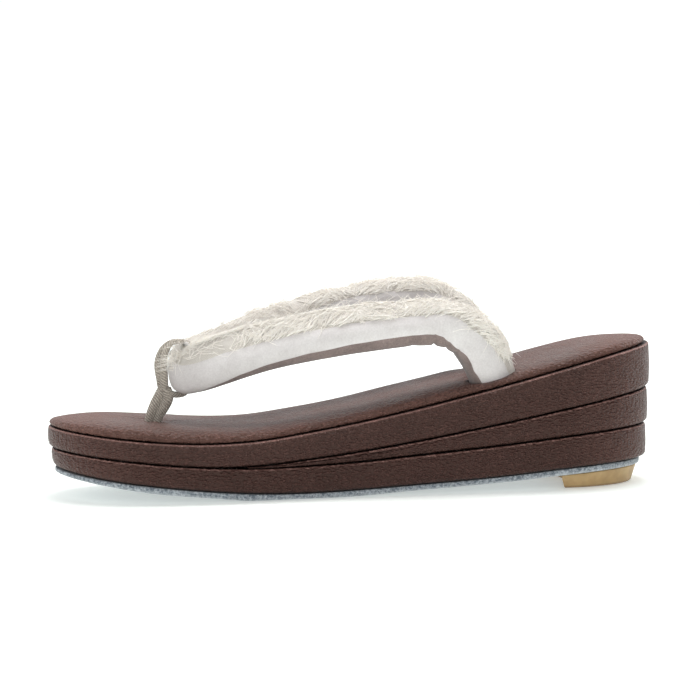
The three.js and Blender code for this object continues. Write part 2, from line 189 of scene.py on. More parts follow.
# ------------------------------
# Upper core: the thick board under the padded top, cork wrapped in brown pebbled leather.
# The leather is drawn tight round the sides and gathers in fine upright wrinkles where it
# turns round the toe and the heel. All layers of the sole share its outline.
# ------------------------------
core_low, core_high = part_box("upper_core")
BULGE = 0.0002                 # how far a wrapped edge swells past the outline
TOE_X = core_low[0] + BULGE
HEEL_X = core_high[0] - BULGE
LENGTH = HEEL_X - TOE_X
BALL_HALF = core_high[1] - BULGE
HEEL_HALF = 0.0371
WAIST_DIP = 0.0015
TOE_ROUND = 0.050
HEEL_ROUND = 0.047
HEEL_SQUARE = 2.2
OUTLINE_STEPS = 2000
SEAM = 0.0003

# Side profile in mm, heel to the right. floor = outsole underside, base = outsole top,
# wedge = lower core top, rise = upper core underside, seat = upper core top,
# crown = thickness of the padded top.
PROFILE = (
    # x, floor, base, wedge, rise, seat, crown
    (-120, 10.3, 12.0, 19.5, 19.5, 28.1, 3.2),
    (-100, 6.8, 8.9, 17.2, 17.2, 25.6, 5.1),
    (-80, 3.8, 6.4, 15.1, 15.1, 23.6, 5.2),
    (-60, 1.7, 4.1, 13.3, 13.3, 22.5, 4.6),
    (-40, -0.3, 2.5, 12.5, 13.4, 23.2, 4.0),
    (-20, -0.3, 2.1, 12.7, 15.3, 25.9, 4.0),
    (0, 0.3, 2.7, 13.6, 17.7, 29.2, 4.3),
    (20, 1.5, 3.7, 15.2, 20.6, 33.2, 4.9),
    (40, 2.6, 4.8, 16.8, 24.0, 37.7, 4.7),
    (60, 3.9, 6.3, 18.6, 27.6, 42.5, 4.3),
    (80, 5.6, 8.1, 20.7, 31.5, 47.6, 4.3),
    (100, 6.8, 9.3, 22.4, 35.1, 52.3, 4.3),
    (120, 7.4, 9.9, 23.6, 38.2, 56.0, 3.2),
)
COLUMNS = ("x", "floor", "base", "wedge", "rise", "seat", "crown")


def clamp(value, low=0.0, high=1.0):
    return min(max(value, low), high)


def on_curve(start, end, pull_in, pull_out, t):
    """Value at t, from 0 to 1, on a smooth curve from start to end with these slopes."""
    cube = 2 * (start - end) + pull_in + pull_out
    square = 3 * (end - start) - 2 * pull_in - pull_out
    return ((cube * t + square) * t + pull_in) * t + start


def profile(column, x):
    """Value of a column of PROFILE at x, on a smooth curve through the rows, in metres."""
    c = COLUMNS.index(column)
    x *= 1000.0
    last = len(PROFILE) - 1
    i = clamp(int((x - PROFILE[0][0]) // (PROFILE[1][0] - PROFILE[0][0])), 0, last - 1)

    def slope(j):
        a, b = max(j - 1, 0), min(j + 1, last)
        return (PROFILE[b][c] - PROFILE[a][c]) / (PROFILE[b][0] - PROFILE[a][0])

    span = PROFILE[i + 1][0] - PROFILE[i][0]
    t = clamp((x - PROFILE[i][0]) / span)
    pull_in, pull_out = slope(i) * span, slope(i + 1) * span
    return on_curve(PROFILE[i][c], PROFILE[i + 1][c], pull_in, pull_out, t) / 1000.0


def outline_point(share):
    """(x, y) on the half outline: share 0 is the toe tip, 1 the heel tip."""
    toe_centre = TOE_X + TOE_ROUND
    heel_centre = HEEL_X - HEEL_ROUND
    if share < 0.25:
        angle = share / 0.25 * math.pi / 2
        return (toe_centre - TOE_ROUND * math.cos(angle), BALL_HALF * math.sin(angle))
    if share <= 0.75:
        u = (share - 0.25) / 0.5
        dip = WAIST_DIP * math.sin(math.pi * u) ** 2
        half = BALL_HALF + (HEEL_HALF - BALL_HALF) * u * u * (3 - 2 * u) - dip
        return (toe_centre + (heel_centre - toe_centre) * u, half)
    angle = (share - 0.75) / 0.25 * math.pi / 2
    along = max(math.sin(angle), 0.0) ** (2 / HEEL_SQUARE)
    across = max(math.cos(angle), 0.0) ** (2 / HEEL_SQUARE)
    return (heel_centre + HEEL_ROUND * along, HEEL_HALF * across)


def even_outline(count):
    """count points at even steps round the whole outline, none on the centre line, each
    with its outward direction and its distance along the edge."""
    fine = [Vector(outline_point(i / OUTLINE_STEPS)) for i in range(OUTLINE_STEPS + 1)]
    lengths = [0.0]
    for a, b in zip(fine, fine[1:]):
        lengths.append(lengths[-1] + (b - a).length)
    half = count // 2
    side = []
    j = 0
    for k in range(half):
        want = lengths[-1] * (k + 0.5) / half
        while lengths[j + 1] < want:
            j += 1
        t = (want - lengths[j]) / (lengths[j + 1] - lengths[j])
        point = fine[j].lerp(fine[j + 1], t)
        way = (fine[min(j + 3, OUTLINE_STEPS)] - fine[max(j - 2, 0)]).normalized()
        side.append((point, Vector((-way.y, way.x)), want))
    mirrored = []
    for point, out, along in reversed(side):
        far = 2 * lengths[-1] - along
        mirrored.append((Vector((point.x, -point.y)), Vector((out.x, -out.y)), far))
    return side + mirrored


def grid_sheet(name, long, wide, uv_name):
    """A flat sheet of long by wide faces, and each vertex's place in its rows."""
    deselect_all()
    bpy.ops.mesh.primitive_grid_add(x_subdivisions=long, y_subdivisions=wide, size=1.0)
    piece = bpy.context.active_object
    piece.name = name
    piece.data.uv_layers.active.name = uv_name
    spots = []
    for vertex in piece.data.vertices:
        spots.append((round((vertex.co.x + 0.5) * long), round((vertex.co.y + 0.5) * wide)))
    return piece, spots


def merge_doubles(threshold):
    """Merge the active piece's doubled points, turn its faces out and stay in edit mode."""
    bpy.ops.object.mode_set(mode="EDIT")
    bpy.ops.mesh.select_all(action="SELECT")
    bpy.ops.mesh.remove_doubles(threshold=threshold)
    bpy.ops.mesh.normals_make_consistent(inside=False)


def board(name, rows, inset, height_at, ripple, around=420, strips=12):
    """One layer of the sole. A sheet is wrapped round the outline in rows from the
    underside to the top, and both ends of the sheet are drawn in to the centre line and
    joined there. rows = (tuck, key) with tuck the distance in from the outline."""
    squeezes = [(i / strips) ** 0.8 for i in range(strips)]
    sheet = [(*rows[0], squeeze) for squeeze in squeezes]
    sheet += [(*row, 1.0) for row in rows]
    sheet += [(*rows[-1], squeeze) for squeeze in reversed(squeezes)]
    height = len(sheet) - 1
    piece, spots = grid_sheet(name, around, height, "wrap")
    edge = even_outline(around)
    for vertex, (k, ring) in zip(piece.data.vertices, spots):
        point, out, along = edge[k % around]
        tuck, key, squeeze = sheet[ring]
        shift = inset(point.x) + tuck
        x = point.x - out.x * shift
        y = point.y - out.y * shift
        z = height_at(key, x)
        wall = clamp((ring - strips) / (len(rows) - 1))
        push = ripple(along, out, z, wall)
        vertex.co = (x + out.x * push, (y + out.y * push) * squeeze, z)
    perimeter = edge[-1][2] + edge[0][2]
    for corner in piece.data.uv_layers["wrap"].data:
        wall = (corner.uv[1] * height - strips) / (len(rows) - 1)
        corner.uv = (corner.uv[0] * perimeter, wall)
    merge_doubles(0.000002)
    bpy.ops.object.mode_set(mode="OBJECT")
    bpy.ops.object.shade_smooth()
    return piece


EDGE_ROWS = (
    # tuck in mm, side of the layer, distance from that side in mm
    (3.6, "low", 0.1),
    (2.2, "low", 0.14),
    (1.3, "low", 0.3),
    (0.7, "low", 0.6),
    (0.28, "low", 1.05),
    (0.04, "low", 1.7),
    (-0.12, "mid", 0.32),
    (-0.18, "mid", 0.5),
    (-0.14, "mid", 0.7),
    (-0.04, "high", 1.4),
    (0.06, "high", 0.85),
    (0.26, "high", 0.42),
    (0.6, "high", 0.14),
    (1.1, "high", 0.02),
    (1.8, "high", 0.0),
    (3.6, "high", 0.0),
)
CORE_ROWS = [(tuck / 1000.0, (side, depth)) for tuck, side, depth in EDGE_ROWS]
FULL_THICKNESS = 0.0042         # the thinnest board that takes its rounded edges whole


def set_in(at_toe, growth=0.0):
    """How far a layer stands in from the outline, growing evenly towards the heel."""
    return lambda x: at_toe + growth * (x - TOE_X) / LENGTH


def core_height(under, over):
    """Height of a row of a wrapped board; where it is thin the rounded edges shrink."""

    def height(key, x):
        side, depth = key
        low, high = under(x), over(x)
        fit = min(1.0, (high - low) / FULL_THICKNESS)
        if side == "low":
            return low + depth / 1000.0 * fit
        if side == "high":
            return high - depth / 1000.0 * fit
        return low + (high - low) * depth

    return height


def wave(x, y, z):
    """Soft random waves, from -1 to 1, the same on each run."""
    return noise.noise(Vector((x, y, z)))


def gathers(seed):
    """Fine upright wrinkles round the toe and the heel, fading on the straight sides."""

    def push(along, out, z, share):
        turning = max(abs(out.x) - 0.35, 0.0) / 0.65
        fine = wave(along * 420.0, z * 60.0, seed)
        broad = wave(along * 150.0, z * 40.0, seed + 7.0)
        slow = wave(along * 22.0, z * 30.0, seed + 3.0)
        side = math.sin(math.pi * share)
        return side * (turning * (0.00010 * fine + 0.00010 * broad) + 0.00007 * slow)

    return push


def rise_at(x):
    return max(profile("rise", x), profile("wedge", x))


upper_core = board(
    "upper_core_leather",
    CORE_ROWS,
    set_in(0.0),
    core_height(lambda x: rise_at(x) + SEAM / 2, lambda x: profile("seat", x) - SEAM / 2),
    gathers(1.0),
)
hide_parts("upper_core")
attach(upper_core, "root")


def shader_group(name, inputs, outputs):
    """A node group with named sockets: f is a number, v a vector and c a colour."""
    group = bpy.data.node_groups.new(name, "ShaderNodeTree")
    kinds = {"f": "NodeSocketFloat", "v": "NodeSocketVector", "c": "NodeSocketColor"}
    for way, sockets in (("INPUT", inputs), ("OUTPUT", outputs)):
        for label, kind in sockets:
            group.interface.new_socket(label, in_out=way, socket_type=kinds[kind])
    given = group.nodes.new("NodeGroupInput").outputs
    end = group.nodes.new("NodeGroupOutput")
    return group, given, end, adder(group)


def scaled(add, value, factor, added=0.0):
    """value times factor, plus added."""
    return add("Math", value, factor, added, operation="MULTIPLY_ADD").outputs[0]


def colour_ramp(add, value, *stops):
    """Colour of value on a ramp through the stops, each a place and a colour."""
    ramp = add("ValToRGB", Fac=value)
    marks = ramp.color_ramp.elements
    while len(marks) < len(stops):
        marks.new(0.5)
    for mark, (position, colour) in zip(marks, stops):
        mark.position = position
        mark.color = (*colour, 1.0)
    return ramp.outputs["Color"]


def leather_grain_group():
    """Pebbled grain: rounded cells with fine creases between them, drawn out along the
    edge, and upright wrinkles where the mask asks for them."""
    group, given, end, add = shader_group(
        "leather_grain",
        (("Vector", "v"), ("Scale", "f"), ("Wrinkle Mask", "f")),
        (("Height", "f"), ("Mottle", "f")),
    )
    place = given["Vector"]
    warp = add("TexNoise", Vector=place, Scale=900.0, Detail=2.0).outputs["Color"]
    shift = (0.0007, 0.0007, 0.0007)
    nudged = add("VectorMath", warp, shift, place, operation="MULTIPLY_ADD").outputs[0]
    drawn_out = add("Mapping", Vector=nudged, Scale=(0.6, 0.6, 1.15)).outputs[0]
    size = given["Scale"]
    cells = add("TexVoronoi", feature="SMOOTH_F1", Vector=drawn_out, Scale=size, Smoothness=0.45)
    pebble = map_range(add, cells.outputs["Distance"], (0.05, 0.75), (1.0, 0.0))
    fine = add("TexNoise", Vector=drawn_out, Scale=2600.0, Detail=3.0, Roughness=0.6)
    grain = scaled(add, fine.outputs["Fac"], 0.35, pebble)
    upright = add("Mapping", Vector=place, Scale=(1.0, 1.0, 0.16)).outputs[0]
    folds = add("TexNoise", Vector=upright, Scale=900.0, Detail=3.0, Roughness=0.55, Distortion=0.3)
    wrinkles = scaled(add, folds.outputs["Fac"], given["Wrinkle Mask"])
    mottle = add("TexNoise", Vector=place, Scale=55.0, Detail=4.0, Roughness=0.6)
    set_up(end, Height=scaled(add, wrinkles, 1.6, grain), Mottle=mottle.outputs["Fac"])
    return group


LEATHER_GRAIN = leather_grain_group()


def leather(name, deep, light, roughness, rim):
    """Brown pebbled leather: darker in the creases, a little lighter and shinier on the
    pebbles, dull blotches where it has been handled, a painted highlight on its upper
    rim and painted shade where it turns in under the layer. rim = (share of the wall,
    brightness) stops of that painted light and shade."""
    material, shader, add = node_material(name)
    place = add("TexCoord").outputs["Object"]
    from_middle = add("Math", add("SeparateXYZ", place).outputs["X"], operation="ABSOLUTE")
    near_ends = map_range(add, from_middle.outputs[0], (0.078, 0.112))
    grain = add("Group", node_tree=LEATHER_GRAIN, Vector=place, Scale=1100.0, Wrinkle_Mask=near_ends)
    height, mottle = grain.outputs["Height"], grain.outputs["Mottle"]
    shade = scaled(add, mottle, 0.45, scaled(add, height, 0.42))
    tint = colour_ramp(add, shade, (0.15, deep), (0.85, light))
    wall = add("SeparateXYZ", add("UVMap", uv_map="wrap").outputs["UV"]).outputs["Y"]
    # Painted highlights turn paler and greyer, and painted shade darker and warmer.
    stops = [(share, (level, level ** 1.12, level ** 1.16)) for share, level in rim]
    painted_rim_light = colour_ramp(add, wall, *stops)
    tint_and_painted_light = add("Mix", data_type="RGBA", blend_type="MULTIPLY", Factor=1.0, A=tint, B=painted_rim_light)
    dullness = (roughness - 0.06, roughness + 0.1)
    set_up(
        shader,
        Base_Color=tint_and_painted_light.outputs["Result"],
        Roughness=map_range(add, mottle, (0.3, 0.75), dullness, smooth=False),
        Specular_IOR_Level=0.30,
        Specular_Tint=(1.0, 0.80, 0.73, 1.0),
        Normal=add("Bump", Height=height, Strength=1.0, Distance=0.0007).outputs["Normal"],
    )
    return material


# Painted shade low on the wall and at its top, where the layers meet, and a painted highlight along the
# upper rounded edge.
CORE_PAINTED_RIM = ((0.1, 0.2), (0.27, 1.0), (0.66, 1.0), (0.71, 3.6), (0.77, 3.4), (0.82, 0.3))
core_leather = leather(
    "core_leather", (0.027, 0.0115, 0.009), (0.098, 0.0465, 0.039), 0.42, CORE_PAINTED_RIM
)
upper_core.data.materials.append(core_leather)


# ------------------------------
# Lower core: the thinner board over the outsole, wrapped in the same leather. Its toe
# rakes back towards the floor.
# ------------------------------
TOE_RAKE = 0.0008
RAKE_START = 0.085
RAKE_REACH = 0.033

lower_core = board(
    "lower_core_leather",
    CORE_ROWS,
    set_in(0.0010, 0.0006),
    core_height(lambda x: profile("base", x) + SEAM / 2, lambda x: profile("wedge", x) - SEAM / 2),
    gathers(21.0),
)
for vertex in lower_core.data.vertices:
    x, y, z = vertex.co
    under, over = profile("base", x), profile("wedge", x)
    toe = clamp((-x - RAKE_START) / RAKE_REACH)
    toe = toe * toe * (3 - 2 * toe)
    vertex.co.x += TOE_RAKE * toe * clamp(1.0 - (z - under) / (over - under))
lower_core.data.materials.append(core_leather)
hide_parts("lower_core")
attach(lower_core, "root")


# ------------------------------
# Middle core: the wedge between the two boards, from a thin edge behind the ball to its
# full height at the heel, wrapped in the same leather.
# ------------------------------
WEDGE_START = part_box("middle_core")[0][0]
WEDGE_EDGE = 0.0004             # thickness that the wedge keeps at its front edge


def select_only(*pieces):
    """Select these pieces alone, with the first one active."""
    deselect_all()
    for piece in pieces:
        piece.select_set(True)
    bpy.context.view_layer.objects.active = pieces[0]


def wedge_top(x):
    return max(rise_at(x) - SEAM / 2, profile("wedge", x) + SEAM / 2 + WEDGE_EDGE)


middle_core = board(
    "middle_core_leather",
    CORE_ROWS,
    set_in(0.0008),
    core_height(lambda x: profile("wedge", x) + SEAM / 2, wedge_top),
    gathers(41.0),
)
select_only(middle_core)
bpy.ops.object.mode_set(mode="EDIT")
bpy.ops.mesh.select_all(action="SELECT")
bpy.ops.mesh.bisect(
    plane_co=(WEDGE_START, 0.0, 0.0), plane_no=(1.0, 0.0, 0.0), use_fill=True, clear_inner=True
)
bpy.ops.object.mode_set(mode="OBJECT")
middle_core.data.materials.append(core_leather)
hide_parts("middle_core")
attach(middle_core, "root")


# ------------------------------
# Outsole: a thin sheet of blue-grey split suede, glued under the lower core. Its cut
# edge is speckled, with a pale fuzz along the lower corner.
# ------------------------------
OUTSOLE_ROWS = (
    (3.0, "low", 0.0),
    (0.9, "low", 0.0),
    (0.3, "low", 0.05),
    (0.05, "low", 0.3),
    (0.0, "mid", 0.35),
    (0.0, "mid", 0.65),
    (0.05, "high", 0.3),
    (0.3, "high", 0.05),
    (3.0, "high", 0.0),
)


def nap(along, out, z, share):
    rough = wave(along * 900.0, share * 4.0, 61.0)
    return 0.00012 * rough * math.sin(math.pi * share)


outsole = board(
    "outsole_suede",
    [(tuck / 1000.0, (side, depth)) for tuck, side, depth in OUTSOLE_ROWS],
    set_in(0.0024, 0.0018),
    core_height(lambda x: max(profile("floor", x), 0.0), lambda x: profile("base", x) - SEAM / 2),
    nap,
    around=700,
)
suede, suede_shader, add = node_material("split_suede")
place = add("TexCoord").outputs["Object"]
speckle = add("TexNoise", Vector=place, Scale=950.0, Detail=4.0, Roughness=0.75).outputs["Fac"]
tint = colour_ramp(add, speckle, (0.41, (0.11, 0.135, 0.165)), (0.62, (0.50, 0.54, 0.575)))
wall = add("SeparateXYZ", add("UVMap", uv_map="wrap").outputs["UV"]).outputs["Y"]
fuzz_edge = map_range(add, wall, (0.25, 0.55), (0.75, 0.0), smooth=False)
pale = add("Mix", data_type="RGBA", Factor=fuzz_edge, A=tint, B=(0.62, 0.66, 0.68, 1.0))
set_up(
    suede_shader,
    Base_Color=pale.outputs["Result"],
    Roughness=0.95,
    Sheen_Weight=0.25,
    Normal=add("Bump", Height=speckle, Strength=0.7, Distance=0.0004).outputs["Normal"],
)
outsole.data.materials.append(suede)
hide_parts("outsole")
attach(outsole, "root")


# ------------------------------
# Heel tap: a honey-coloured rubber crescent nailed under the heel, its edge tapering in
# towards the floor and scuffed darker along the bottom.
# ------------------------------
def copy_of(node, name):
    """A merged copy of a frame node, left in edit mode to be finished."""
    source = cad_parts[node]
    piece = source.copy()
    piece.data = source.data.copy()
    piece.name = name
    for collection in source.users_collection:
        collection.objects.link(piece)
    piece.parent = None
    piece.matrix_world = Matrix()
    for key in list(piece.keys()):
        if key.startswith("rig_"):
            del piece[key]
    piece.data.materials.clear()
    piece.hide_render = False
    piece.hide_viewport = False
    select_only(piece)
    merge_doubles(0.00001)
    return piece


heel_tap = copy_of("heel_tap", "heel_tap_rubber")
bpy.ops.mesh.dissolve_limited(angle_limit=math.radians(3.0))
bpy.ops.mesh.select_all(action="DESELECT")
bpy.ops.mesh.select_mode(type="EDGE")
work = bmesh.from_edit_mesh(heel_tap.data)
for e in work.edges:
    e.select = e.is_manifold and e.calc_face_angle(0.0) > math.radians(20.0)
bmesh.update_edit_mesh(heel_tap.data)
bpy.ops.mesh.bevel(offset=0.0006, segments=3, profile=0.6)
bpy.ops.object.mode_set(mode="OBJECT")
bpy.ops.object.shade_smooth_by_angle(angle=math.radians(28.0))

rubber, rubber_shader, add = node_material("honey_rubber")
place = add("TexCoord").outputs["Object"]
cloud = add("TexNoise", Vector=place, Scale=130.0, Detail=5.0, Roughness=0.6).outputs["Fac"]
tint = colour_ramp(add, cloud, (0.3, (0.38, 0.245, 0.105)), (0.7, (0.55, 0.38, 0.185)))
scuff = map_range(add, add("SeparateXYZ", place).outputs["Z"], (0.0001, 0.0013), (0.72, 0.0))
dirty = add("Mix", data_type="RGBA", Factor=scuff, A=tint, B=(0.19, 0.12, 0.055, 1.0))
pits = add("TexNoise", Vector=place, Scale=900.0, Detail=3.0).outputs["Fac"]
set_up(
    rubber_shader,
    Base_Color=dirty.outputs["Result"],
    Roughness=0.5,
    Subsurface_Weight=0.12,
    Subsurface_Radius=(0.003, 0.0015, 0.0006),
    Normal=add("Bump", Height=pits, Strength=0.15, Distance=0.0002).outputs["Normal"],
)
heel_tap.data.materials.append(rubber)
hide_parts("heel_tap")
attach(heel_tap, "root")


# ------------------------------
# Padded top: soft foam under brown leather, with a full rounded shoulder all round. It
# dips a little where the strap and the thong are pulled down through it.
# ------------------------------
PAD_CROWN = 0.0052
PAD_ROWS = (
    # tuck in mm, height above the upper core in mm
    (4.0, 0.0),
    (1.9, 0.0),
    (1.0, 0.08),
    (0.4, 0.35),
    (0.1, 0.8),
    (0.0, 1.3),
    (0.05, 1.85),
    (0.25, 2.4),
    (0.6, 2.95),
    (1.1, 3.4),
    (1.8, 3.75),
    (2.8, 4.08),
    (4.2, 4.38),
    (6.2, 4.72),
    (9.0, 4.98),
    (12.5, 5.18),
    (17.0, 5.2),
)
STRAP_HOLES = ((0.0512, -0.0243), (0.0566, 0.0243))
THONG_HOLE = (-0.0788, 0.0)
DIP_FLOOR = 0.0025              # only what lies higher than this over the core dips


def pad_height(over, x):
    return profile("seat", x) + SEAM / 2 + over / 1000.0 * profile("crown", x) / PAD_CROWN


def soft_swell(along, out, z, share):
    slow = wave(along * 16.0, share * 2.0, 81.0)
    small = wave(along * 70.0, share * 5.0, 85.0)
    return (0.00016 * slow + 0.00005 * small) * math.sin(math.pi * share)


top_pad = board(
    "top_pad_leather",
    [(tuck / 1000.0, over) for tuck, over in PAD_ROWS],
    set_in(0.0005, 0.0013),
    pad_height,
    soft_swell,
    strips=18,
)
for vertex in top_pad.data.vertices:
    x, y, z = vertex.co
    depth = z - profile("seat", x)
    if depth < DIP_FLOOR:
        continue
    dip = 0.0
    for hole_x, hole_y in STRAP_HOLES:
        reach = math.hypot(x - hole_x, (y - hole_y) / 1.15)
        dip += 0.0011 * math.exp(-((max(reach - 0.0065, 0.0) / 0.0042) ** 2))
    reach = math.hypot(x - THONG_HOLE[0], y - THONG_HOLE[1])
    angle = math.atan2(y - THONG_HOLE[1], x - THONG_HOLE[0])
    pucker = 0.00022 * math.sin(angle * 9.0) * math.exp(-(((reach - 0.007) / 0.004) ** 2))
    dip += 0.0010 * math.exp(-((max(reach - 0.002, 0.0) / 0.005) ** 2)) + pucker
    swell = 0.00025 * wave(x * 28.0, y * 28.0, 91.0)
    vertex.co.z += swell - dip

# Painted shade along the foot of the padded top's wall, in the crease over the upper core.
PAD_PAINTED_RIM = ((0.05, 0.3), (0.2, 1.0))
pad_leather = leather(
    "pad_leather", (0.053, 0.025, 0.0195), (0.172, 0.086, 0.070), 0.45, PAD_PAINTED_RIM
)
top_pad.data.materials.append(pad_leather)
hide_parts("top_pad")
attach(top_pad, "root")


# ------------------------------
# Strap: a padded cloth tube from hole to hole. Its crown is a ribbed ecru band between
# two panels of white velvet, and a taupe lining closes it underneath. It stands on edge at
# the nose, where the thong loops round it, and turns flat over the arch of each arm.
# ------------------------------
STRAP_COLUMNS = ("x", "y", "z", "wide", "thick", "lean", "low", "high", "inner")
# x, y, z, wide, thick in mm. lean = degrees that the outer edge is lifted. low and high =
# borders of the outer velvet panel and inner = border of the inner one, in degrees round
# the section from the outer edge over the crown.
NEAR_ARM = (
    (-66.0, -5.8, 47.7, 17.4, 7.8, -87, 10, 106, 172),
    (-60.6, -8.8, 49.2, 18.8, 8.8, -80, 17, 97, 168),
    (-46.0, -12.6, 53.9, 20.0, 11.0, -62, 20, 88, 160),
    (-30.0, -16.2, 57.9, 20.0, 12.4, -50, 17, 80, 154),
    (-12.0, -19.6, 61.1, 20.4, 13.2, -42, 16, 76, 152),
    (6.0, -22.2, 63.4, 20.6, 13.8, -36, 16, 72, 150),
    (22.0, -23.8, 64.7, 20.2, 14.2, -30, 11, 64, 150),
    (33.0, -24.6, 63.9, 19.4, 16.6, -20, 0, 53, 150),
    (40.6, -24.8, 60.2, 18.0, 18.6, -8, -25, 26, 150),
    (45.4, -24.6, 55.4, 16.8, 19.4, 0, -32, 20, 150),
    (48.8, -24.4, 49.2, 15.8, 19.2, 0, -36, 30, 150),
    (51.0, -24.2, 43.4, 15.2, 18.4, 0, -30, 34, 150),
    (52.6, -24.0, 38.0, 14.6, 17.0, 0, -30, 34, 150),
)
NOSE = (
    (-67.8, -2.4, 49.8, 15.4, 7.6, -88, 0, 110, 180),
    (-67.8, 2.4, 49.8, 15.4, 7.6, -88, -14, 112, 186),
)
FAR_ARM = (
    (-66.0, 5.8, 48.3, 18.2, 7.8, -87, -14, 110, 196),
    (-60.6, 8.8, 50.4, 19.0, 8.8, -78, 2, 98, 204),
    (-46.0, 12.6, 57.0, 20.0, 11.0, -54, 5, 74, 208),
    (-30.0, 16.2, 63.2, 20.0, 12.4, -34, 3, 62, 200),
    (-12.0, 19.8, 67.6, 19.6, 13.2, -18, 4, 56, 176),
    (6.0, 22.6, 71.0, 19.4, 14.0, -8, 8, 52, 160),
    (22.0, 24.4, 72.5, 19.2, 14.6, -2, 8, 50, 156),
    (36.5, 25.2, 71.4, 18.8, 15.4, 0, 0, 46, 156),
    (46.8, 25.2, 64.6, 17.8, 15.6, 0, -20, 30, 158),
    (52.0, 24.8, 56.4, 16.8, 15.4, 0, -30, 26, 156),
    (54.8, 24.4, 49.4, 15.8, 14.8, 0, -34, 30, 154),
    (56.6, 24.2, 43.4, 15.2, 14.2, 0, -30, 34, 150),
    (57.8, 24.0, 38.0, 14.6, 13.4, 0, -30, 34, 150),
)
STRAP_ROWS = tuple(reversed(NEAR_ARM)) + NOSE + FAR_ARM
CROWN_SHARE = 0.58
CROWN_POWER = 2.3
LINING_POWER = 3.0
STRAP_STEPS = 9
STRAP_RINGS = (len(STRAP_ROWS) - 1) * STRAP_STEPS


def between(a, b, c, d, t):
    """All columns at t between rows b and c, on smooth curves through the four rows."""
    return [on_curve(q, r, (r - p) / 2, (s - q) / 2, t) for p, q, r, s in zip(a, b, c, d)]


def strap_row(t):
    """All columns of the strap at t, counted in rows from the near end."""
    last = len(STRAP_ROWS) - 1
    i = clamp(int(t), 0, last - 1)
    rows = [STRAP_ROWS[clamp(j, 0, last)] for j in (i - 1, i, i + 1, i + 2)]
    return dict(zip(STRAP_COLUMNS, between(*rows, t - i)))


def signed_power(value, exponent):
    return math.copysign(abs(value) ** exponent, value)


def strap_axes(t):
    """Centre of the section at t, its outward and upward directions, and its row."""
    row, before, after = strap_row(t), strap_row(t - 0.06), strap_row(t + 0.06)
    centre = Vector((row["x"], row["y"], row["z"])) / 1000.0
    way = Vector([after[k] - before[k] for k in ("x", "y", "z")]).normalized()
    out = Vector((0.0, 0.0, 1.0)).cross(way).normalized()
    rise = way.cross(out)
    lean = math.radians(row["lean"])
    leant_out = math.cos(lean) * out + math.sin(lean) * rise
    leant_up = math.cos(lean) * rise - math.sin(lean) * out
    return centre, leant_out, leant_up, row


def strap_point(t, degrees, lift=0.0):
    """Point on the strap's surface at t and degrees, lifted off it by lift."""
    centre, out, rise, row = strap_axes(t)
    angle = math.radians(degrees)
    crown = math.sin(angle) >= 0
    exponent = 2 / (CROWN_POWER if crown else LINING_POWER)
    share = CROWN_SHARE if crown else 1 - CROWN_SHARE
    half = row["wide"] / 2000.0
    depth = row["thick"] * share / 1000.0
    u = half * signed_power(math.cos(angle), exponent)
    v = depth * signed_power(math.sin(angle), exponent)
    normal_u = math.copysign(abs(u / half) ** (2 / exponent - 1) / half, u) if u else 0.0
    normal_v = math.copysign(abs(v / depth) ** (2 / exponent - 1) / depth, v) if v else 0.0
    normal = (normal_u * out + normal_v * rise).normalized()
    return centre + u * out + v * rise + lift * normal


# Faces round the section: outer velvet, ribbed band, inner velvet, lining.
PANEL_FACES = (16, 18, 10, 20)
PANEL_PUFF = (0.00035, 0.00015, 0.0003, 0.0)
LINING = 3
LINING_DEPTH = 0.0006
STRAP_AROUND = sum(PANEL_FACES)


def panel_degrees(k, row):
    """Angle of column k of the strap's cloth, and how far k is through its panel."""
    seam = max(188.0 - 0.3 * row["low"], row["inner"] + 8.0)
    borders = (row["low"], row["high"], row["inner"], seam, 360.0 + row["low"])
    panel = 0
    while panel < LINING and k >= PANEL_FACES[panel]:
        k -= PANEL_FACES[panel]
        panel += 1
    share = k / PANEL_FACES[panel]
    return borders[panel] + (borders[panel + 1] - borders[panel]) * share, panel, share


def strap_lift(t, k, row, panel, share):
    """Padding and folds: panels puff between their seams, the velvet stands proud of the
    lining, and the lining folds where the arm bends down to its hole."""
    puff = PANEL_PUFF[panel] * math.sin(math.pi * share)
    drawn_in = LINING_DEPTH * min(1.0, 6 * share, 6 * (1 - share)) if panel == LINING else 0.0
    soft = 0.00022 * wave(t * 0.9, k * 0.16, 5.0)
    fine = 0.00007 * wave(t * 3.2, k * 0.5, 9.0)
    fold = 0.0
    if panel == LINING or share < 0.12 and panel == 0:
        for bend, reach, depth in FOLDS:
            fold -= depth * math.exp(-(((t - bend) / reach) ** 2))
    return puff - drawn_in + soft + fine + fold


NEAR_BEND = 12 - 6.7           # rows from the near end to each arch's inner corner
FAR_BEND = 15 + 7.2
FOLDS = (
    # place in rows, reach in rows, depth
    (NEAR_BEND, 0.07, 0.0011),
    (NEAR_BEND - 0.75, 0.10, 0.0006),
    (NEAR_BEND - 1.4, 0.09, 0.0005),
    (NEAR_BEND + 0.8, 0.12, 0.0004),
    (FAR_BEND, 0.08, 0.0011),
    (FAR_BEND + 0.8, 0.10, 0.0006),
    (FAR_BEND - 0.8, 0.12, 0.0004),
)


def strap_tube(name, rings, around, place):
    """A sheet of cloth rolled up into an open tube, with each vertex put at its place."""
    piece, spots = grid_sheet(name, rings, around, "cloth")
    for vertex, (i, k) in zip(piece.data.vertices, spots):
        vertex.co = place(i, k)
    return piece, spots


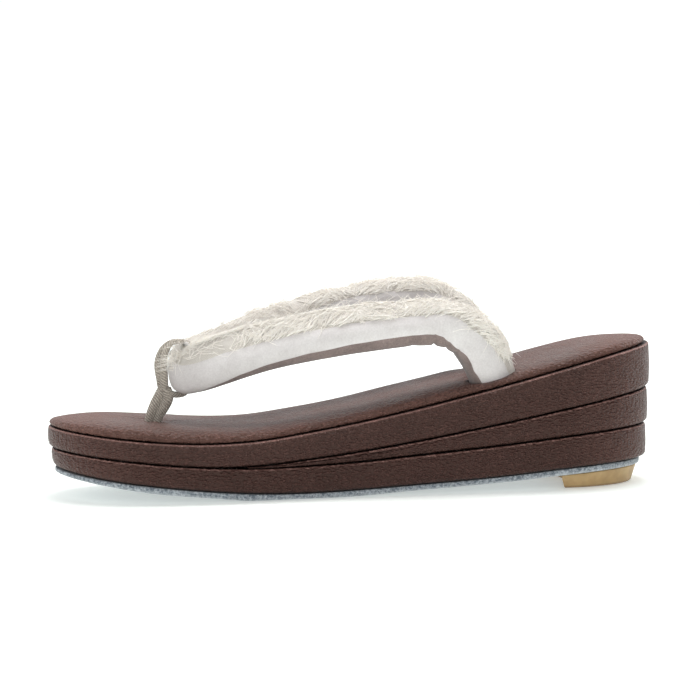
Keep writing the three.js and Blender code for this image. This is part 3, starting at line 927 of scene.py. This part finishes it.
def finish_tube():
    """Join the active tube along its length and close its ends."""
    bpy.ops.object.mode_set(mode="EDIT")
    bpy.ops.mesh.select_all(action="SELECT")
    bpy.ops.mesh.remove_doubles(threshold=0.000001)
    bpy.ops.mesh.select_all(action="DESELECT")
    bpy.ops.mesh.select_mode(type="EDGE")
    bpy.ops.mesh.select_non_manifold()
    bpy.ops.mesh.fill_holes(sides=0)
    bpy.ops.mesh.select_all(action="SELECT")
    bpy.ops.mesh.normals_make_consistent(inside=False)
    bpy.ops.object.mode_set(mode="OBJECT")
    bpy.ops.object.shade_smooth()


TUFT_ROW = 12.40
TUFT_DEGREES = 166.0
TUFT_RISE = Vector((-0.0016, -0.0008, 0.0046))


def place_on_strap(i, k):
    t = i / STRAP_STEPS
    row = strap_row(t)
    degrees, panel, share = panel_degrees(k % STRAP_AROUND, row)
    # The near arm's soft upper edge swells up beside the thong's loop.
    along, across = (t - TUFT_ROW) / 0.55, (degrees - TUFT_DEGREES) / 36.0
    tuft = math.exp(-(along ** 2) - across ** 2)
    # Cut edges of the velvet wander a little along the strap.
    if share == 0.0:
        degrees += 2.2 * wave(t * 2.2, panel * 10.0, 3.0)
    lift = strap_lift(t, k % STRAP_AROUND, row, panel, share)
    return strap_point(t, degrees, lift) + TUFT_RISE * tuft


strap, strap_spots = strap_tube("hanao_strap_cloth", STRAP_RINGS, STRAP_AROUND, place_on_strap)
for face in strap.data.polygons:
    k = min(strap_spots[v][1] for v in face.vertices)
    face.material_index = panel_degrees(k, strap_row(5.0))[1]
STRAP_LENGTH = 0.300
STRAP_GIRTH = 0.054
for corner in strap.data.uv_layers["cloth"].data:
    corner.uv = (corner.uv[0] * STRAP_LENGTH, corner.uv[1] * STRAP_GIRTH)
finish_tube()


BAND_PERIOD = 0.31416          # metres from band to band of a wave texture at scale 1


def cloth_nap_group():
    """Fine fibres over broad soft patches, and twisted ribs across the turned sheet."""
    group, given, end, add = shader_group(
        "cloth_nap",
        (
            ("Vector", "v"),
            ("Sheet", "v"),
            ("Fibre Scale", "f"),
            ("Rib Scale", "f"),
            ("Rib Tint", "f"),
            ("Rib Height", "f"),
        ),
        (("Shade", "f"), ("Height", "f")),
    )
    place, fineness = given["Vector"], given["Fibre Scale"]
    fibre = add("TexNoise", Vector=place, Scale=fineness, Detail=5.0, Roughness=0.75).outputs["Fac"]
    broad = add("Math", fineness, 12.0, operation="DIVIDE").outputs[0]
    patch = add("TexNoise", Vector=place, Scale=broad, Detail=3.0, Roughness=0.6).outputs["Fac"]
    nap = scaled(add, fibre, 0.55, scaled(add, patch, 0.45))
    ribs = add(
        "TexWave",
        wave_type="BANDS",
        bands_direction="Y",
        Vector=given["Sheet"],
        Scale=given["Rib Scale"],
        Distortion=1.2,
        Detail=2.0,
        Detail_Scale=1.5,
    ).outputs["Fac"]
    shade = scaled(add, ribs, given["Rib Tint"], nap)
    set_up(end, Shade=shade, Height=scaled(add, ribs, given["Rib Height"], fibre))
    return group


CLOTH_NAP = cloth_nap_group()


def cloth(name, dark, light, roughness, sheen, fineness, relief, ribs=None):
    """Napped or woven cloth. ribs = (angle, spacing, depth) on the cloth's own sheet."""
    material, shader, add = node_material(name)
    place = add("TexCoord").outputs["Object"]
    nap = add("Group", node_tree=CLOTH_NAP, Vector=place, Fibre_Scale=fineness)
    lightest = 0.65
    if ribs:
        angle, spacing, depth = ribs
        sheet = add("UVMap", uv_map="cloth").outputs["UV"]
        turned = add("Mapping", Vector=sheet, Rotation=(0.0, 0.0, math.radians(angle))).outputs[0]
        set_up(nap, Sheet=turned, Rib_Scale=BAND_PERIOD / spacing, Rib_Tint=depth, Rib_Height=1.4)
        lightest += depth
    bump = add("Bump", Height=nap.outputs["Height"], Strength=relief, Distance=0.00025)
    set_up(
        shader,
        Base_Color=colour_ramp(add, nap.outputs["Shade"], (0.35, dark), (lightest, light)),
        Roughness=roughness,
        Sheen_Weight=sheen,
        Sheen_Roughness=0.6,
        Normal=bump.outputs["Normal"],
    )
    return material


white_velvet = cloth(
    "white_velvet", (0.61, 0.575, 0.565), (0.78, 0.75, 0.74), 0.9, 0.35, 1400.0, 0.35
)
ECRU_RIBS = (24.0, 0.0006, 0.3)
ribbed_ecru = cloth(
    "ribbed_ecru", (0.55, 0.50, 0.45), (0.80, 0.765, 0.71), 0.85, 0.2, 1300.0, 0.6, ECRU_RIBS
)
taupe_lining = cloth(
    "taupe_lining", (0.15, 0.108, 0.098), (0.31, 0.235, 0.215), 0.95, 0.3, 1100.0, 0.5
)
for material in (white_velvet, ribbed_ecru, white_velvet, taupe_lining):
    strap.data.materials.append(material)
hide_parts("hanao_strap")
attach(strap, "root")


# ------------------------------
# Holes: the strap's two ends and the thong's two stems go down through the padded top into
# the upper core. Each hole is cut to the piece that fills it, with a small gap all round.
# ------------------------------
STRAP_GAP = 0.0004
CUTTER_RINGS = 24
CUTTER_AROUND = 36


def strap_cutter(first, last):
    """The strap from row first to row last, grown by the gap all round and at its tip."""
    tip = 0 if first == 0.0 else CUTTER_RINGS

    def place(i, k):
        t = first + (last - first) * i / CUTTER_RINGS
        point = strap_point(t, k * 360.0 / CUTTER_AROUND, STRAP_GAP)
        if i == tip:
            point.z -= STRAP_GAP
        return point

    piece, _ = strap_tube("cutter", CUTTER_RINGS, CUTTER_AROUND, place)
    finish_tube()
    return piece


def cut(piece, cutter):
    select_only(piece)
    hole = piece.modifiers.new("hole", "BOOLEAN")
    hole.operation = "DIFFERENCE"
    hole.object = cutter
    hole.solver = "EXACT"
    bpy.ops.object.modifier_apply(modifier=hole.name)


# ------------------------------
# Toe thong: two soft rolls of grey-beige ribbed cloth, side by side. Each loops round the
# strap's nose and goes down through the padded top.
# ------------------------------
LOOP_NEAR = (
    # x, y, z, radius in mm
    (-73.9, -1.35, 41.0, 1.5),
    (-74.3, -1.6, 45.5, 1.55),
    (-74.4, -1.6, 50.5, 1.5),
    (-73.8, -1.4, 54.8, 1.3),
    (-71.0, -1.1, 58.8, 1.0),
    (-66.6, -1.1, 59.2, 1.0),
    (-62.6, -1.1, 56.6, 1.0),
    (-62.9, -1.1, 49.4, 1.0),
    (-63.6, -1.1, 42.6, 1.0),
    (-66.6, -1.1, 38.8, 1.0),
    (-70.8, -1.2, 38.6, 1.2),
)
LOOP_FAR = (
    (-74.8, 1.35, 41.0, 1.6),
    (-76.2, 1.4, 45.5, 1.3),
    (-76.8, 1.4, 50.5, 1.2),
    (-75.4, 1.3, 55.4, 1.1),
    (-71.8, 1.1, 58.9, 1.0),
    (-66.6, 1.1, 59.2, 1.0),
    (-62.6, 1.1, 56.6, 1.0),
    (-62.9, 1.1, 49.4, 1.0),
    (-63.6, 1.1, 42.6, 1.0),
    (-66.6, 1.1, 38.8, 1.0),
    (-71.0, 1.2, 38.6, 1.2),
)
STEM_FRONT = (
    (-74.8, 0.9, 41.6, 1.7),
    (-76.2, 0.7, 38.0, 2.2),
    (-78.4, 0.3, 34.0, 2.1),
    (-80.0, 0.0, 30.4, 1.8),
    (-80.9, 0.0, 26.5, 1.7),
    (-81.4, 0.0, 22.0, 1.7),
)
STEM_REAR = (
    (-73.4, -0.9, 41.4, 1.7),
    (-73.0, -0.7, 37.4, 2.2),
    (-74.6, -0.3, 33.6, 2.1),
    (-76.7, 0.0, 30.2, 1.8),
    (-77.8, 0.0, 26.5, 1.7),
    (-78.3, 0.0, 22.0, 1.7),
)


def roll_at(rows, t, closed):
    """x, y, z and radius of a roll at t, counted in rows, in metres."""
    count = len(rows)
    i = int(t) if closed else min(int(t), count - 2)
    spots = [j % count if closed else clamp(j, 0, count - 1) for j in (i - 1, i, i + 1, i + 2)]
    return [value / 1000.0 for value in between(*(rows[j] for j in spots), t - i)]


ROLL_ROW = 0.0055              # cloth that one row covers along a roll, and round it
ROLL_GIRTH = 0.010
STEM_GAP = 0.0003


def cloth_roll(name, rows, closed, grow=0.0, steps=10, around=28):
    """A soft roll of cloth along the rows, with a sunk seam, or its cutter where it grows."""
    spans = len(rows) if closed else len(rows) - 1
    rings = spans * steps

    def near(t):
        return roll_at(rows, t % len(rows) if closed else clamp(t, 0.0, spans), closed)

    def place(i, k):
        t = (i % rings) / steps if closed else i / steps
        x, y, z, r = roll_at(rows, t, closed)
        way = (Vector(near(t + 0.05)[:3]) - Vector(near(t - 0.05)[:3])).normalized()
        out = Vector((0.0, 1.0, 0.0)).cross(way).normalized()
        rise = way.cross(out)
        angle = 2 * math.pi * (k % around) / around
        if grow:
            r += grow
        else:
            seam = 0.00016 * math.exp(-((math.cos((angle - 1.2) / 2) / 0.10) ** 2))
            wrinkle = wave(t * 2.5, math.cos(angle) * 1.5, math.sin(angle) * 1.5)
            r += 0.00009 * wrinkle - seam
        if not closed and i == rings:
            z -= grow
        return Vector((x, y, z)) + r * (math.cos(angle) * out + math.sin(angle) * rise)

    piece, _ = strap_tube(name, rings, around, place)
    for corner in piece.data.uv_layers["cloth"].data:
        corner.uv = (corner.uv[0] * spans * ROLL_ROW, corner.uv[1] * ROLL_GIRTH)
    finish_tube()
    return piece


cutters = [strap_cutter(0.0, 3.2), strap_cutter(23.8, 27.0)]
for stem in (STEM_FRONT, STEM_REAR):
    cutters.append(cloth_roll("cutter", stem, False, grow=STEM_GAP, steps=3, around=16))
for cutter in cutters:
    cut(top_pad, cutter)
    cut(upper_core, cutter)
for cutter in cutters:
    bpy.data.objects.remove(cutter)

rolls = [
    cloth_roll("toe_thong_cloth", LOOP_NEAR, True),
    cloth_roll("roll", LOOP_FAR, True),
    cloth_roll("roll", STEM_FRONT, False),
    cloth_roll("roll", STEM_REAR, False),
]
select_only(*rolls)
bpy.ops.object.join()
thong = rolls[0]
THONG_RIBS = (58.0, 0.0011, 0.35)
thong_cloth = cloth(
    "thong_cloth", (0.27, 0.235, 0.195), (0.78, 0.71, 0.62), 0.9, 0.2, 1500.0, 1.0, THONG_RIBS
)
thong.data.materials.append(thong_cloth)
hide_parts("toe_thong")
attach(thong, "root")


# ------------------------------
# Fringe: the ribbed band's cut edges are frayed into a fringe of soft ecru threads. They
# lie brushed along the strap over both borders, and stray ends stand off the crest.
# ------------------------------
random.seed(7)
THREAD_POINTS = 5
THREAD_ROWS = (0.05, 26.95)    # rows of the strap that a thread may reach
FRINGE_ROWS = (1.7, 25.3)      # rows that carry the fringe, and its strays
STRAY_ROWS = (2.3, 24.8)
NOSE_ROW = 13.5
ROW_PITCH = 5.6                # mm that a row of the strap covers, as a rule
CLOSEST_PITCH = 2.5
DEGREES_A_MM = 7.0             # turn round the section for a millimetre across the strap


threads = bpy.data.curves.new("fringe_threads", "CURVE")
threads.dimensions = "3D"
threads.bevel_depth = 1.0
threads.bevel_resolution = 0
threads.resolution_u = 1
fringe = bpy.data.objects.new("fringe_threads", threads)
bpy.context.scene.collection.objects.link(fringe)


def add_thread(points, radius, tints=(0, 0, 1, 2)):
    """One thread that thins to its tip, in a colour drawn from tints."""
    spline = threads.splines.new("POLY")
    spline.points.add(len(points) - 1)
    for n, (point, place) in enumerate(zip(spline.points, points)):
        point.co = (*place, 1.0)
        point.radius = radius * (1.0 - 0.75 * (n / (len(points) - 1)) ** 2)
    spline.material_index = random.choice(tints)


def strap_thread(t, degrees, along, across, length, lift, curl, proud):
    """Points of one thread that starts on the strap at t and degrees and lies over it,
    heading along and across. It lies lift mm off the cloth, and its tip proud mm more."""
    points = []
    for n in range(THREAD_POINTS):
        share = n / (THREAD_POINTS - 1)
        bend = curl * share * share
        here_t = t + (along * share + bend * across) * length / ROW_PITCH
        here = degrees + (across * share - bend * along) * length * DEGREES_A_MM
        rise = lift + proud * share ** 1.6
        points.append(strap_point(clamp(here_t, *THREAD_ROWS), here, rise / 1000.0))
    return points


def row_spacing(t):
    """Millimetres that one row of the strap's table covers at t."""
    a, b = strap_row(t - 0.2), strap_row(t + 0.2)
    return math.dist([a[k] for k in "xyz"], [b[k] for k in "xyz"]) / 0.4


def run_along(heading, angle, step):
    """A thread's run along the strap, evened out where its rows are close."""
    return -heading * math.cos(angle) * ROW_PITCH / max(step, CLOSEST_PITCH)


FRINGE_EDGES = (
    # border, threads, way across from the border, spread in degrees
    ("high", 3450, 1.0, 15.0),
    ("inner", 2350, -1.0, 14.0),
    ("crest", 2300, 0.0, 26.0),
)
for border, count, way_across, spread in FRINGE_EDGES:
    for n in range(count):
        t = random.uniform(*FRINGE_ROWS)
        row = strap_row(t)
        step = row_spacing(t)
        if random.random() > step / 18.0 + 0.2:
            continue
        # The band's front face near the nose stays bare.
        bare = clamp((-row["x"] - 34.0) / 12.0)
        if border == "high" and random.random() < bare:
            continue
        if border == "crest" and random.random() < 0.45 * (1.0 - bare):
            continue
        base = (row["high"] + row["inner"]) / 2 if border == "crest" else row[border]
        # Locks of threads share a direction, which drifts along the strap.
        lock = wave(t * 2.4, base * 0.05, 11.0)
        heading = 1.0 if t < NOSE_ROW else -1.0
        heading *= 1.0 if wave(t * 0.8, 0.0, 17.0) > -0.12 else -1.0
        angle = math.radians(34.0 + 50.0 * lock + random.gauss(0.0, 9.0))
        along = run_along(heading, angle, step)
        across = (way_across or random.choice((-1.0, 1.0))) * math.sin(angle)
        degrees = base + way_across * random.uniform(-2.0, spread) + random.gauss(0.0, 2.0)
        if not way_across:
            degrees = base + random.uniform(-spread, spread)
        length = random.uniform(3.0, 7.5)
        if border == "crest" and bare > 0.3:
            degrees = row["inner"] - random.uniform(0.0, 16.0)
        lift, curl, proud = random.uniform(0.05, 1.0), random.gauss(0.0, 0.25), random.uniform(-0.2, 1.2)
        points = strap_thread(t, degrees, along, across, length, lift, curl, proud)
        thick = random.uniform(0.00016, 0.00026) if random.random() < 0.35 else 0.00008
        add_thread(points, thick)

# Stray ends that stand off the crest and the arms' rear slopes.
for n in range(950):
    t = random.uniform(*STRAY_ROWS)
    row = strap_row(t)
    degrees = random.uniform(row["high"] + 4, row["inner"] - 2)
    clump = wave(t * 1.6, 4.0, 23.0)
    if clump < -0.15 and random.random() < 0.7:
        continue
    angle = math.radians(random.uniform(15.0, 75.0))
    heading = random.choice((-1.0, 1.0, 1.0)) * (1.0 if t < NOSE_ROW else -1.0)
    along = run_along(heading, angle, row_spacing(t))
    across = random.choice((-1.0, 1.0)) * math.sin(angle) * 0.6
    length, curl, proud = random.uniform(3.5, 8.0), random.gauss(0.0, 0.35), random.uniform(1.4, 4.2)
    points = strap_thread(t, degrees, along, across, length, 0.2, curl, proud)
    add_thread(points, random.uniform(0.00010, 0.00017), (1, 2, 2))

# A few threads from the nose cross over the front of the thong's loop.
for n in range(34):
    z = random.gauss(50.6, 1.2)
    start = Vector((-66.0, -7.2 + random.uniform(-0.6, 0.6), z + 0.8))
    tip_x = -77.4 + random.uniform(-0.8, 1.6)
    end = Vector((tip_x, random.uniform(-2.8, 1.5), z + random.gauss(-0.4, 0.9)))
    points = []
    for k in range(6):
        share = k / 5
        spot = start.lerp(end, share)
        spot.x -= 1.3 * math.sin(math.pi * min(share * 1.1, 1.0))
        spot.y -= 1.9 * math.sin(math.pi * share)
        spot.z += 0.5 * math.sin(math.pi * share)
        points.append(spot / 1000.0)
    add_thread(points, random.uniform(0.00008, 0.00013))


def thread_colour_group():
    """A thread's colour, between its root and tip colours as its fibres turn."""
    group, given, end, add = shader_group(
        "thread_colour", (("Vector", "v"), ("Root", "c"), ("Tip", "c")), (("Color", "c"),)
    )
    fibre = add("TexNoise", Vector=given["Vector"], Scale=1600.0, Detail=3.0, Roughness=0.7)
    share = map_range(add, fibre.outputs["Fac"], (0.3, 0.55), smooth=False)
    blend = add("Mix", data_type="RGBA", Factor=share, A=given["Root"], B=given["Tip"])
    set_up(end, Color=blend.outputs["Result"])
    return group


THREAD_COLOUR = thread_colour_group()
THREADS = (
    # name, root colour, tip colour
    ("cream_thread", (0.86, 0.79, 0.69, 1.0), (0.98, 0.95, 0.90, 1.0)),
    ("ecru_thread", (0.73, 0.62, 0.49, 1.0), (0.95, 0.89, 0.80, 1.0)),
    ("straw_thread", (0.46, 0.345, 0.225, 1.0), (0.78, 0.665, 0.50, 1.0)),
)
for name, root, tip in THREADS:
    thread, thread_shader, add = node_material(name)
    place = add("TexCoord").outputs["Object"]
    colour = add("Group", node_tree=THREAD_COLOUR, Vector=place, Root=root, Tip=tip)
    set_up(thread_shader, Base_Color=colour.outputs["Color"], Roughness=0.7, Sheen_Weight=0.25)
    threads.materials.append(thread)
select_only(fringe)
bpy.ops.object.convert(target="MESH")
fringe = bpy.context.active_object
fringe.name = "fringe_threads"
bpy.ops.object.shade_smooth()
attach(fringe, "root")
